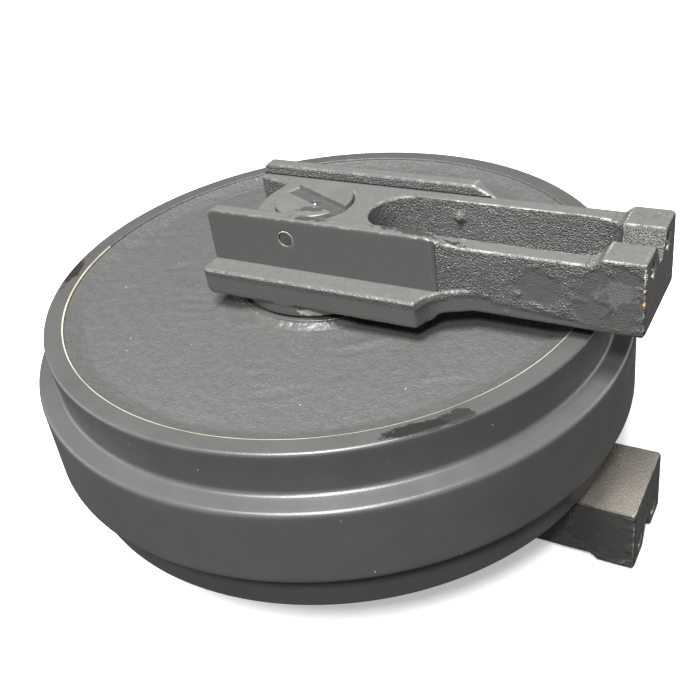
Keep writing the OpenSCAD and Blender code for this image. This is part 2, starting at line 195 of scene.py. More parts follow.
class Relief(Enum):
    """How a size of relief is shaped."""

    SKIN = "rolling cast or sprayed skin"
    SAND = "packed grains of moulding sand"


class Stock(Enum):
    """What the enamel lies on."""

    SAND_CAST = "sand-cast steel, milled in places"
    CAST_WEB = "cast steel, raw all over"
    TURNED = "turned or milled steel"
    WELD = "weld metal"


@dataclass(frozen=True)
class Grain:
    """One size of surface relief, in millimetres."""

    size: float
    height: float
    detail: float = 2.0
    kind: Relief = Relief.SKIN
    masked: bool = True


@dataclass(frozen=True)
class Mark:
    """A stain or scuff: an ellipsoid on the surface with ragged edges, in millimetres."""

    centre: Point
    reach: Point
    turn: float
    colour: str
    gloss: float
    ragged: float = 0.5
    ragged_size: float = 9.0


@dataclass(frozen=True)
class Enamel:
    """Dark grey machinery enamel, sprayed thin over steel.

    The eye gets a satin black-grey that goes pale where it mirrors the sky, small mottles where
    the coat is thinner, fine grit under it, pale dust specks, and thin worn lines on sharp edges.
    """

    name: str
    stock: Stock
    colour: str
    thin: str
    gloss: float
    gloss_spread: float
    mottle: float
    grains: tuple[Grain, ...]
    speck_share: float = 0.0
    # Colour of the milled faces, a little darker than the raw skin: painted shade.
    milled: str = ""
    worn: str = ""
    # Colour of dust on the faces that look up; it is also painted light that makes the tops paler.
    dust_and_top_light: str = ""
    dust_and_light_share: Flat = (0.36, 0.6)
    dust_and_light_patch: float = 5.0
    marks: tuple[Mark, ...] = ()

    def make(self) -> Material:
        """Builds the material.

        Returns:
            The finished material.
        """
        made, shader, place = blank_finish(self.name)
        tree = made.node_tree
        colour, gloss = self.coat(tree, place)
        colour, gloss = self.stains(tree, place, colour, gloss)
        tree.links.new(colour, shader.inputs["Base Color"])
        tree.links.new(gloss, shader.inputs["Roughness"])
        tree.links.new(self.relief(tree, place), shader.inputs["Normal"])
        return made

    def coat(self, tree: Tree, place: Socket) -> tuple[Socket, Socket]:
        """Mottled colour and gloss of the coat, with milled faces in painted shade, dust and painted light
        on faces that look up, wear, corners in painted shade, and specks.

        Args:
            tree: The material's node tree.
            place: Object coordinates.

        Returns:
            The colour and the roughness.
        """
        mottle = cloud(tree, place, self.mottle, 5.0, 0.62)
        colour = mixed(tree, remap(tree, mottle, 0.32, 0.68), self.colour, self.thin)
        sheen = cloud(tree, place, SHEEN_SHARE * self.mottle, 4.0)
        gloss = remap(tree, sheen, NOISE_LOW, NOISE_HIGH,
                      self.gloss - self.gloss_spread, self.gloss + self.gloss_spread)
        # Painted shade: the milled faces take a darker colour than the raw skin.
        if self.milled:
            colour = mixed(tree, carried(tree, SKIN), self.milled, colour)
        if self.dust_and_top_light:
            colour = self.dusted_and_top_lit(tree, place, colour)
        if self.worn:
            colour, gloss = self.rubbed_with_painted_light(tree, place, colour, gloss)
        if self.speck_share:
            colour = self.specked(tree, place, colour)
        return colour, gloss

    def dusted_and_top_lit(self, tree: Tree, place: Socket, colour: Socket) -> Socket:
        """Lays patchy dust on the faces that look up, with painted light that makes them paler.

        Args:
            tree: The material's node tree.
            place: Object coordinates.
            colour: Colour of the coat.

        Returns:
            The colour with the dust and painted light on it.
        """
        facing = add_node(tree, "ShaderNodeNewGeometry", {}, {}).outputs["Normal"]
        upward = add_node(tree, "ShaderNodeSeparateXYZ", {}, {0: facing}).outputs["Z"]
        patchy = cloud(tree, place, self.dust_and_light_patch, 6.0, 0.7)
        share = combined(tree, "MULTIPLY", remap(tree, upward, *DUST_AND_TOP_LIGHT_LIES),
                         remap(tree, patchy, 0.34, 0.66, *self.dust_and_light_share))
        return mixed(tree, share, colour, self.dust_and_top_light)

    def rubbed_with_painted_light(self, tree: Tree, place: Socket, colour: Socket, gloss: Socket) -> tuple[Socket, Socket]:
        """Rubs the proud edges pale and paints shade, with grime, into the corners.

        Args:
            tree: The material's node tree.
            place: Object coordinates.
            colour: Colour of the coat.
            gloss: Roughness of the coat.

        Returns:
            The colour and the roughness with the wear on them.
        """
        edge = carried(tree, EDGE)
        broken = cloud(tree, place, WORN_PATCH, 5.0, 0.7)
        bare = combined(tree, "MULTIPLY", remap(tree, edge, 0.0, 1.0),
                        remap(tree, broken, 0.44, 0.66, 0.0, WORN_MOST))
        colour = mixed(tree, bare, colour, self.worn)
        # Painted shade: the corners go near black and dull.
        colour = mixed(tree, remap(tree, edge, 0.0, -1.0, 0.0, CORNER_SHADE_MOST), colour, CORNER_SHADE_AND_GRIME)
        return colour, remap(tree, edge, 0.0, -1.0, gloss, CORNER_SHADE_GLOSS)

    def specked(self, tree: Tree, place: Socket, colour: Socket) -> Socket:
        """Strews pale specks over the coat.

        Args:
            tree: The material's node tree.
            place: Object coordinates.
            colour: Colour of the coat.

        Returns:
            The colour with the specks on it.
        """
        cells = add_node(tree, "ShaderNodeTexVoronoi", {}, {"Vector": place, "Scale": 1 / (SPECK_CELL * MM)})
        near = remap(tree, cells.outputs["Distance"], *SPECK_EDGE)
        picked = combined(tree, "LESS_THAN", cells.outputs["Color"], self.speck_share)
        return mixed(tree, combined(tree, "MULTIPLY", near, picked), colour, SPECK)

    def stains(self, tree: Tree, place: Socket, colour: Socket, gloss: Socket) -> tuple[Socket, Socket]:
        """Lays the marks over the coat.

        Args:
            tree: The material's node tree.
            place: Object coordinates.
            colour: Colour of the coat.
            gloss: Roughness of the coat.

        Returns:
            The colour and the roughness with the marks on them.
        """
        for mark in self.marks:
            spot = add_node(tree, "ShaderNodeMapping", {"vector_type": "TEXTURE"}, {
                "Vector": place, "Location": [c * MM for c in mark.centre],
                "Rotation": (0.0, 0.0, math.radians(mark.turn)),
                "Scale": [c * MM for c in mark.reach]})
            away = add_node(tree, "ShaderNodeVectorMath", {"operation": "LENGTH"}, {0: spot.outputs[0]})
            torn = cloud(tree, place, mark.ragged_size, 5.0, 0.65)
            shift = remap(tree, torn, NOISE_LOW, NOISE_HIGH, -mark.ragged, mark.ragged)
            share = remap(tree, combined(tree, "ADD", away.outputs["Value"], shift), 1.0, 0.8)
            colour = mixed(tree, share, colour, mark.colour)
            gloss = add_node(tree, "ShaderNodeMix", {"data_type": "FLOAT"}, {
                0: share, 2: gloss, 3: mark.gloss}).outputs[0]
        return colour, gloss

    def relief(self, tree: Tree, place: Socket) -> Socket:
        """Bump of the stock's grain under the coat.

        Args:
            tree: The material's node tree.
            place: Object coordinates.

        Returns:
            The normal.
        """
        skin = carried(tree, SKIN) if self.stock is Stock.SAND_CAST else None
        links: dict[str, Socket] = {}
        for grain in self.grains:
            if grain.kind is Relief.SAND:
                height = add_node(tree, "ShaderNodeTexVoronoi", {"feature": "SMOOTH_F1"}, {
                    "Vector": place, "Scale": 1 / (grain.size * MM), "Detail": grain.detail,
                    "Smoothness": SAND_SMOOTH}).outputs["Distance"]
            else:
                height = cloud(tree, place, grain.size, grain.detail, SKIN_FINE)
            if skin is not None and grain.masked:
                height = combined(tree, "MULTIPLY", height, skin)
            bump = add_node(tree, "ShaderNodeBump", {}, {
                "Strength": 1.0, "Distance": grain.height * MM, "Height": height, **links})
            links = {"Normal": bump.outputs["Normal"]}
        return links["Normal"]


@dataclass(frozen=True)
class BareFinish:
    """An unpainted part: bronze, lapped or cut steel, nitrile rubber, plated steel or copper.

    The eye gets an even body colour with faint smears of oil and fine tool or mould marks.
    """

    name: str
    colour: str
    shade: str
    metallic: float
    gloss_low: float
    gloss_high: float
    grain: float
    height: float

    def make(self) -> Material:
        """Builds the material.

        Returns:
            The finished material.
        """
        made, shader, place = blank_finish(self.name)
        tree = made.node_tree
        shader.inputs["Metallic"].default_value = self.metallic
        smear = cloud(tree, place, SMEAR, 4.0)
        gloss = remap(tree, smear, NOISE_LOW, NOISE_HIGH, self.gloss_low, self.gloss_high)
        tooled = add_node(tree, "ShaderNodeMapping", {}, {"Vector": place, "Scale": TOOL_STRETCH})
        bump = add_node(tree, "ShaderNodeBump", {}, {
            "Strength": 1.0, "Distance": self.height * MM,
            "Height": cloud(tree, tooled.outputs[0], self.grain, 3.0)})
        tree.links.new(mixed(tree, smear, self.colour, self.shade), shader.inputs["Base Color"])
        tree.links.new(gloss, shader.inputs["Roughness"])
        tree.links.new(bump.outputs["Normal"], shader.inputs["Normal"])
        return made


def finish_piece(name: str, bm: BMesh, finishes: list[Material], body: str,
                 nodes: tuple[str, ...] = (), sharp: float = 40.0) -> None:
    """Makes an object of a finished bmesh and lets it ride on its body.

    Args:
        name: Name of the piece.
        bm: The finished bmesh, which is freed.
        finishes: Materials in the order of the faces' indices.
        body: The body that it rides on.
        nodes: CAD nodes that it stands for.
        sharp: Angle in degrees above which an edge is drawn sharp.
    """
    mesh = bpy.data.meshes.new(name)
    bm.to_mesh(mesh)
    bm.free()
    for made in finishes:
        mesh.materials.append(made)
    if "custom_normal" in mesh.attributes:
        mesh.attributes.remove(mesh.attributes["custom_normal"])
    mesh.shade_smooth()
    mesh.set_sharp_from_angle(angle=math.radians(sharp))
    piece = bpy.data.objects.new(name, mesh)
    bpy.context.scene.collection.objects.link(piece)
    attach(piece, body)
    if nodes:
        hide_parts(*nodes)
    LOG.info("%s: %d faces on %s", name, len(mesh.polygons), body)


def merged_copy(node: str) -> BMesh:
    """Copy of a CAD node's mesh with its doubled vertices merged.

    Args:
        node: The CAD node.

    Returns:
        A bmesh of the copy.
    """
    bm = bmesh.new()
    bm.from_mesh(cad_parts[node].data)
    bmesh.ops.remove_doubles(bm, verts=bm.verts[:], dist=MERGE_SOLID)
    return bm


def section(corners: list[Point], finest: float) -> BMesh:
    """Closed section in the XZ plane with rounded corners, ready to spin.

    Args:
        corners: Radius, level and corner radius of each corner, in millimetres.
        finest: Longest edge that is left whole, in millimetres.

    Returns:
        A bmesh of the section's edges.
    """
    bm = bmesh.new()
    points = [bm.verts.new((r * MM, 0, z * MM)) for r, z, _ in corners]
    bm.faces.new(points)
    turns = []
    for i, (_, _, radius) in enumerate(corners):
        before = points[i - 1].co - points[i].co
        after = points[(i + 1) % len(points)].co - points[i].co
        turns.append(radius * MM / math.tan(before.angle(after) / 2))
    for point, offset in zip(points, turns):
        if offset > 0:
            bmesh.ops.bevel(bm, geom=[point], offset=offset, offset_type="OFFSET", affect="VERTICES",
                            segments=ROUND_STEPS, profile=0.5, material=-1)
    bmesh.ops.delete(bm, geom=bm.faces[:], context="FACES_ONLY")
    for edge in bm.edges[:]:
        cuts = int(edge.calc_length() / (finest * MM))
        if cuts:
            bmesh.ops.subdivide_edges(bm, edges=[edge], cuts=cuts)
    return bm


def spun(corners: list[Point], finest: float, steps: int) -> BMesh:
    """Spins a section through a quarter turn and sets three copies beside it.

    Args:
        corners: Radius, level and corner radius of each corner, in millimetres.
        finest: Longest edge of the section, in millimetres.
        steps: Steps of the turn.

    Returns:
        The closed ring.
    """
    bm = section(corners, finest)
    bmesh.ops.spin(bm, geom=bm.verts[:] + bm.edges[:], cent=(0, 0, 0), axis=(0, 0, 1),
                   angle=FULL_TURN / 4, steps=steps // 4)
    bmesh.ops.spin(bm, geom=bm.verts[:] + bm.edges[:] + bm.faces[:], cent=(0, 0, 0), axis=(0, 0, 1),
                   angle=FULL_TURN * 3 / 4, steps=3, use_duplicate=True)
    bmesh.ops.remove_doubles(bm, verts=bm.verts[:], dist=MERGE_RING)
    bmesh.ops.delete(bm, geom=[edge for edge in bm.edges if not edge.link_faces], context="EDGES")
    bmesh.ops.recalc_face_normals(bm, faces=bm.faces[:])
    return bm


def flip_down(bm: BMesh) -> None:
    """Mirrors a finished ring to the lower side of the wheel."""
    bmesh.ops.scale(bm, vec=(1, 1, -1), verts=bm.verts[:])
    bmesh.ops.recalc_face_normals(bm, faces=bm.faces[:])


class Side(Enum):
    """Which end of the axle."""

    UPPER = 1
    LOWER = -1

    def named(self, part: str) -> str:
        """Name of a part on this side."""
        return f"{self.name.lower()}_{part}"


@dataclass
class IdlerWheel:
    """The turning wheel: two cast halves, the girth weld and the two hub weld beads."""

    flange_r: float = 280.0
    flange_z: float = 36.0
    flange_root_z: float = 39.0
    flange_round: float = 4.0
    tread_r: float = 263.5
    tread_root_r: float = 260.5
    tread_round: float = 3.0
    rim_z: float = 80.0
    rim_in_r: float = 236.0
    rim_in_round: float = 12.0
    lip_r: float = 245.0
    lip_z: float = 77.5
    lip_round: float = 1.2
    lip_root_round: float = 0.8
    # Depth in y in front of which the lip's edge is rubbed pale and given a painted highlight.
    lip_rub_and_highlight_y: float = -20.0
    web_edge_r: float = 228.0
    web_edge_z: float = 72.0
    web_round: float = 22.0
    hub_r: float = 80.0
    web_hub_z: float = 70.0
    web_t: float = 15.0
    # Size and height of the web's waves and grit; then its flow creases and the wrinkles inside the lip.
    web_waves: tuple[Flat, ...] = ((70.0, 0.55), (28.0, 0.22))
    web_grit: Flat = (9.0, 0.2)
    web_sink: float = 0.2
    web_seed: float = 431.0
    crease_long: float = 65.0
    crease_wide: float = 10.0
    crease_lean: float = 0.5
    crease_bend: float = 9.0
    crease_bend_long: float = 45.0
    crease_patch: float = 50.0
    crease_rise: float = 1.1
    wrinkle_long: float = 45.0
    wrinkle_wide: float = 3.4
    wrinkle_rise: float = 0.75
    groove_deep: float = 9.0
    groove_half: float = 4.5
    bead_leg: float = 9.0
    bead_rise: float = 4.2
    # Scales of a weld run: how many, how far they bow and stand; then its lumps, per metre, and sag.
    bead_scales: int = 118
    scale_bow: float = 5.0
    scale_rise: float = 0.12
    bead_lumps: tuple[Flat, ...] = ((45.0, 0.4), (210.0, 0.35), (520.0, 0.25))
    bead_sag: float = 0.4
    bead_stray: float = 0.008
    # Longest edge left whole in each section, and steps of a full turn.
    shell_finest: float = 3.6
    girth_finest: float = 3.0
    bead_finest: float = 1.0
    bead_steps: int = 720
    steps: int = 480
    body: str = "wheel"

    def build(self, turned: Material, web: Material, lip: Material, weld: Material) -> None:
        """Builds every piece of the wheel.

        Args:
            turned: Finish of the turned rim, treads and flange.
            web: Finish of the cast webs.
            lip: Finish of the rims' inner edge, pale with a painted highlight on its front arc.
            weld: Finish of the hub weld beads.
        """
        for side in Side:
            self.half(side, [turned, web, lip])
            self.bead(side, weld)
        self.girth(turned)

    def half(self, side: Side, finishes: list[Material]) -> None:
        """One cast half with a turned rim and a rough web.

        Args:
            side: Which half.
            finishes: Turned, cast and lip finish.
        """
        bm = spun([
            (self.hub_r, self.web_hub_z - self.web_t, 0),
            (self.rim_in_r, self.web_edge_z - self.web_t, self.rim_in_round),
            (self.rim_in_r, 0, 0),
            (self.flange_r - self.groove_deep, 0, 0),
            (self.flange_r, self.groove_half, 0),
            (self.flange_r, self.flange_z, self.flange_round),
            (self.tread_root_r, self.flange_root_z, self.flange_round),
            (self.tread_r, self.rim_z, self.tread_round),
            (self.lip_r, self.rim_z, self.lip_round),
            (self.lip_r, self.lip_z, self.lip_root_round),
            (self.web_edge_r, self.web_edge_z, self.web_round),
            (self.hub_r, self.web_hub_z, 0)], self.shell_finest, self.steps)
        for vert in bm.verts:
            vert.co.z += self.web_wave(vert.co, side) * MM
        for face in bm.faces:
            middle = face.calc_center_median()
            face.material_index = self.zone(middle.xy.length / MM, middle.z / MM, middle.y / MM)
        if side is Side.LOWER:
            flip_down(bm)
        finish_piece(side.named("half_shell_casting"), bm, finishes, self.body,
                     (side.named("half_shell"),))

    def zone(self, r: float, z: float, y: float) -> int:
        """Which finish a face of the half shell has.

        Args:
            r: Radius of the face's middle.
            z: Its level.
            y: Its depth in the photo, which is negative at the front.

        Returns:
            0 for the turned finish, 1 for the cast web, 2 for the front arc of the lip, rubbed pale with a
            painted highlight.
        """
        if r > self.lip_r + self.lip_round or z < self.web_hub_z - self.web_t:
            return 0
        # Painted highlight: the pale lip colour goes only on the front arc of the lip.
        rubbed_with_painted_light = r > self.lip_r - 0.1 and z > self.rim_z - self.lip_round and y < self.lip_rub_and_highlight_y
        return 2 if rubbed_with_painted_light else 1

    def web_wave(self, co: Vector, side: Side) -> float:
        """Rise of the web's cast skin at a point, in millimetres.

        Args:
            co: The point.
            side: Which half.

        Returns:
            The rise, which fades out at the lip and the hub weld.
        """
        r = co.xy.length / MM
        if r > self.lip_r or co.z / MM < self.web_hub_z - 4:
            return 0.0
        fade = ease(self.lip_r - 1, self.lip_r - 9, r) * ease(self.hub_r + 4, self.hub_r + 18, r)
        seat = co * 1000 + Vector((0, 0, self.web_seed * side.value))
        broad = sum(noise.noise(seat / size) * rise for size, rise in self.web_waves)
        flow = Vector((seat.x + self.crease_lean * seat.y, 0.0, 0.0)) / self.crease_long
        bend = self.crease_bend * noise.noise(seat / self.crease_bend_long)
        flow.y = (seat.y - self.crease_lean * seat.x + bend) / self.crease_wide
        creases = noise.noise(flow) * ease(-0.1, 0.5, noise.noise(seat / self.crease_patch))
        slope = ease(self.web_edge_r - 4, self.web_edge_r + 5, r) * ease(self.lip_r - 1, self.lip_r - 4, r)
        along = math.atan2(co.y, co.x) * self.lip_r / self.wrinkle_long
        wrinkles = noise.noise(Vector((along, r / self.wrinkle_wide, 9.0 * side.value)))
        grit = noise.noise(seat / self.web_grit[0]) * self.web_grit[1]
        rise = broad + self.crease_rise * creases + grit - self.web_sink
        return slope * wrinkles * self.wrinkle_rise + fade * rise

    def girth(self, turned: Material) -> None:
        """The girth weld, turned flush with the flange."""
        bm = spun([(self.flange_r - self.groove_deep, 0, 0), (self.flange_r, -self.groove_half, 0),
                   (self.flange_r, self.groove_half, 0)], self.girth_finest, self.steps)
        finish_piece("girth_weld_seam", bm, [turned], self.body, ("girth_weld",))

    def bead(self, side: Side, weld: Material) -> None:
        """A hub weld bead with the scales of its run.

        Args:
            side: Which hub weld.
            weld: Finish of the bead.
        """
        top = self.web_hub_z + self.bead_rise
        toe = self.hub_r + self.bead_leg
        bm = spun([(self.hub_r, self.web_hub_z - 1, 0), (self.hub_r, top, 0),
                   (self.hub_r + 1.5, top, 1), (toe, self.web_hub_z + 0.2, 3),
                   (toe + 4, self.web_hub_z - 0.6, 0)], self.bead_finest, self.bead_steps)
        for vert in bm.verts:
            r, angle = vert.co.xy.length / MM, math.atan2(vert.co.y, vert.co.x)
            across = (r - self.hub_r) / self.bead_leg
            lift = ease(self.web_hub_z - 1, top - 1, vert.co.z / MM)
            crescent = self.bead_scales * angle + self.scale_bow * (across - 0.45) ** 2
            scale = abs(math.sin(crescent / 2 + 1.5 * noise.noise(vert.co * 70))) ** 0.6
            lumps = sum(noise.noise(vert.co * often) * rise for often, rise in self.bead_lumps)
            vert.co.z += lift * (scale * self.scale_rise - self.bead_sag + lumps) * MM
            vert.co.xy *= 1 + lift * across * lumps * self.bead_stray
        if side is Side.LOWER:
            flip_down(bm)
        finish_piece(side.named("hub_weld_bead"), bm, [weld], self.body,
                     (side.named("hub_weld"),))


@dataclass
class GuideBracket:
    """A sand-cast guide bracket with milled guide faces, rough sides and a drafted pocket."""

    side: Side
    remesh_depth: int = 8
    guide_y: float = 55.0
    rail_front: float = 136.5
    ledge_z: float = 112.0
    rail_z: float = 160.0
    body_z: float = 150.0
    boss_r: float = 79.0
    arm_y: float = 45.0
    arm_z0: float = 92.0
    end_x: float = 304.0
    pad_long: float = 40.0
    shaft_r: float = 35.0
    shaft_gap: float = 0.25
    bolt_y: float = 22.5
    bolt_z: float = 141.0
    bolt_r: float = 7.0
    bolt_deep: float = 28.0
    thread_pitch: float = 2.0
    thread_rise: float = 0.9
    thread_root: float = 0.2
    thread_land: float = 0.05
    thread_around: int = 32
    # How far a vertex stands out of its neighbours on a worn edge, and in from them in a corner that gets
    # painted shade.
    proud: Flat = (0.10, 0.30)
    hollow: Flat = (-0.24, -0.42)
    edge_round: float = 0.6
    ledge_wear: float = 0.3
    # Part of the normal from which a face counts as facing up or sideways, in full at the second value.
    facing_from: Flat = (0.5, 0.68)
    # Share of the raw skin that is gone: end face, arm's foot, its top, and the pads and ground spots.
    end_clean: float = 0.9
    foot_clean: float = 0.85
    top_clean: float = 0.75
    pad_clean: float = 0.7
    # Ground spots on the arm's sides: middle along and up, then reach along and up.
    ground_spots: tuple[tuple[float, float, float, float], ...] = (
        (222, 124, 20, 17), (276, 118, 30, 30), (290, 141, 12, 9))
    # Size and height of the cast skin's waves, and of the warp that milled faces show too.
    skin_waves: tuple[Flat, ...] = ((22.0, 0.32), (8.0, 0.22), (4.2, 0.17))
    warp: Flat = (40.0, 0.05)
    skin_seed: float = 517.0
    # Middle, reach and height of each lump; ends of each flash line, along and up.
    lumps: tuple[tuple[Point, float, float], ...] = (
        ((126.7, 29.0, 135.4), 6.5, 4.2), ((205.0, -45.0, 115.0), 3.2, 1.5),
        ((195.0, -45.0, 96.0), 3.6, 1.4), ((220.0, -45.0, 143.0), 3.0, 1.2),
        ((241.0, -45.0, 106.0), 3.0, 1.3), ((177.0, -45.0, 108.0), 2.8, 1.3))
    flash: tuple[tuple[Flat, Flat], ...] = (
        ((245, 112), (251, 119)), ((251, 119), (260, 118)), ((266, 121), (276, 119)),
        ((276, 119), (281, 112)), ((214, 108), (236, 102)), ((272, 106), (279, 116)))
    flash_rise: float = 0.8
    burr_rise: float = 1.1
    body: str = "carrier"

    def build(self, cast: Material, cut: Material) -> None:
        """Builds the bracket's casting from its solid, and the threads of its bolt holes.

        Args:
            cast: Finish of the casting.
            cut: Finish of the cut threads.
        """
        self.threads(cut)
        node = self.side.named("bracket")
        bm = self.remeshed(node)
        skin = bm.verts.layers.float.new(SKIN)
        edge = bm.verts.layers.float.new(EDGE)
        low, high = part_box(node)
        bm.normal_update()
        for vert in bm.verts:
            ring = sum((e.other_vert(vert).co for e in vert.link_edges), Vector())
            bulge = (vert.co - ring / len(vert.link_edges)).dot(vert.normal) / MM
            vert[edge] = ease(*self.proud, bulge) - ease(*self.hollow, bulge)
        moves = []
        for vert in bm.verts:
            seat = Vector((vert.co.x, vert.co.y, vert.co.z * self.side.value)) / MM
            worn = max(0.0, vert[edge]) * self.edge_round
            if abs(seat.y) > self.guide_y + 3 or seat.x < self.rail_front - 12:
                vert[edge] *= self.ledge_wear if vert[edge] > 0 else 1.0
            facing = Vector((vert.normal.x, vert.normal.y, vert.normal.z * self.side.value))
            vert[skin] = self.rough(seat, facing)
            moves.append(vert.normal * (self.skin_rise(seat, facing, vert[skin]) - worn) * MM)
        for vert, move in zip(bm.verts, moves):
            vert.co += move
            vert.co = Vector(max(a, min(b, c)) for a, b, c in zip(low, high, vert.co))
            if vert.co.xy.length < (self.shaft_r + 1.5) * MM:
                vert.co.xy *= max(1.0, (self.shaft_r + self.shaft_gap) * MM / vert.co.xy.length)
        finish_piece(self.side.named("bracket_casting"), bm, [cast], self.body,
                     (node,), sharp=60)

    def threads(self, cut: Material) -> None:
        """The thread ridges in the two bolt holes.

        Args:
            cut: Finish of the threads.
        """
        bm = bmesh.new()
        turns = int(self.bolt_deep / self.thread_pitch)
        for across in (-self.bolt_y, self.bolt_y):
            axle = Vector((0, across, self.side.value * self.bolt_z)) * MM
            start = self.end_x - self.bolt_deep - self.thread_pitch
            ridge = [bm.verts.new(axle + Vector((start + along, 0, r)) * MM) for along, r in (
                (self.thread_land, self.bolt_r + self.thread_root),
                (self.thread_pitch / 2, self.bolt_r - self.thread_rise),
                (self.thread_pitch - self.thread_land, self.bolt_r + self.thread_root))]
            profile = bm.faces.new(ridge)
            bmesh.ops.spin(bm, geom=ridge + profile.edges[:] + [profile], cent=axle, axis=(1, 0, 0),
                           dvec=(self.thread_pitch / self.thread_around * MM, 0, 0),
                           angle=FULL_TURN * turns, steps=self.thread_around * turns)
        bmesh.ops.recalc_face_normals(bm, faces=bm.faces[:])
        finish_piece(self.side.named("bolt_hole_threads"), bm, [cut], self.body, sharp=30)

    def remeshed(self, node: str) -> BMesh:
        """Even quads over a copy of the solid.

        Args:
            node: The CAD node.

        Returns:
            A bmesh of the remeshed copy.
        """
        raw = merged_copy(node)
        mesh = bpy.data.meshes.new(node + "_raw")
        raw.to_mesh(mesh)
        raw.free()
        blank = bpy.data.objects.new(node + "_raw", mesh)
        bpy.context.scene.collection.objects.link(blank)
        remesh = blank.modifiers.new("even_quads", "REMESH")
        remesh.mode = "SHARP"
        remesh.octree_depth = self.remesh_depth
        remesh.scale = 0.9
        remesh.sharpness = 1.0
        remesh.use_remove_disconnected = False
        shape = blank.evaluated_get(bpy.context.evaluated_depsgraph_get()).to_mesh()
        bm = bmesh.new()
        bm.from_mesh(shape)
        bpy.data.objects.remove(blank)
        bpy.data.meshes.remove(mesh)
        return bm

    def rough(self, seat: Vector, facing: Vector) -> float:
        """Share of raw cast skin at a point: 0 on milled or ground faces, 1 on the raw casting.

        Args:
            seat: The point in millimetres, as on the upper side.
            facing: The surface normal there, as on the upper side.

        Returns:
            The share from 0 to 1.
        """
        x, y, z = seat
        across = abs(y)
        upward = ease(*self.facing_from, facing.z)
        sideways = ease(*self.facing_from, abs(facing.y))
        milled = 0.0
        if z > self.ledge_z - 2 and x < self.rail_front + 3:
            if across > self.guide_y - 2:
                milled = max(milled, upward, sideways if across < self.guide_y + 2 else 0.0)
            milled = max(milled, upward * ease(self.body_z - 3, self.body_z - 1, z))
        elif z > self.body_z - 2 and x < self.end_x - self.pad_long - 5:
            milled = max(milled, self.top_clean * upward)
        if x > self.end_x - 2:
            milled = max(milled, self.end_clean * ease(0.8, 0.95, facing.x))
        if seat.xy.length < self.boss_r and z < self.ledge_z - 25:
            milled = 1.0
        in_hole = math.hypot(across - self.bolt_y, z - self.bolt_z) < self.bolt_r + 1
        if in_hole and x > self.end_x - self.bolt_deep - 8:
            milled = 1.0
        if x < self.rail_front + 45 and across > self.arm_y - 4:
            milled = max(milled, self.foot_clean * ease(self.arm_z0 + 18, self.arm_z0 + 12, z))
        if across > self.guide_y + 3 and z < self.ledge_z + 1:
            brink = 0.6 * ease(self.ledge_z - 8, self.ledge_z - 2, z) * sideways
            milled = max(milled, self.foot_clean - brink)
        if x > self.end_x - self.pad_long and z > self.rail_z - 5:
            milled = max(milled, self.pad_clean * upward)
        ground = 0.0
        if across > self.arm_y - 4 and x > self.rail_front + 8 and sideways > 0:
            band = self.arm_z0 + 13 - 0.07 * (x - 150)
            ground = ease(band + 3, band - 2, z) * self.foot_clean
            wobble = noise.noise(Vector((x / 7, y, z / 7))) * 0.35
            for spot_x, spot_z, reach_x, reach_z in self.ground_spots:
                apart = math.hypot((x - spot_x) / reach_x, (z - spot_z) / reach_z) + wobble
                ground = max(ground, self.pad_clean * ease(1.2, 0.7, apart))
        return 1.0 - max(milled, ground * sideways)

    def skin_rise(self, seat: Vector, facing: Vector, share: float) -> float:
        """How far the casting's skin stands off the plain form, in millimetres.

        Args:
            seat: The point in millimetres, as on the upper side.
            facing: The surface normal there, as on the upper side.
            share: Share of raw skin.

        Returns:
            The rise along the normal.
        """
        key = seat + Vector((0, 0, self.skin_seed * self.side.value))
        rise = share * sum(noise.noise(key / size) * high for size, high in self.skin_waves)
        rise += self.warp[1] * noise.noise(key / self.warp[0])
        if self.side is Side.UPPER:
            rise += self.flaws(seat, facing, key)
        return rise

    def flaws(self, seat: Vector, facing: Vector, key: Vector) -> float:
        """Rise of the casting's lumps, flash lines and the burr at the ledge's end, in millimetres.

        Args:
            seat: The point in millimetres.
            facing: The surface normal there.
            key: The point that drives the noise.

        Returns:
            The rise along the normal.
        """
        rise = 0.0
        ragged = 1 + 0.35 * noise.noise(key / 3)
        for centre, reach, height in self.lumps:
            apart = (seat - Vector(centre)).length
            if apart < 2 * reach:
                rise += height * ease(reach, 0.2 * reach, apart * ragged)
        if facing.y < -0.6 and seat.x > self.rail_front + 60:
            spot = Vector((seat.x, seat.z))
            for start, end in self.flash:
                nearest, share = intersect_point_line(spot, Vector(start), Vector(end))
                if -0.05 < share < 1.05:
                    rise += self.flash_rise * ease(2.0, 0.2, (spot - nearest).length * ragged)
        if facing.x > 0.4 and seat.y < -self.arm_y - 6 and seat.x < self.rail_front + 20:
            level = self.ledge_z - 6 + 1.5 * noise.noise(key / 6)
            rise += self.burr_rise * ease(2.4, 0.4, abs(seat.z - level))
        return rise


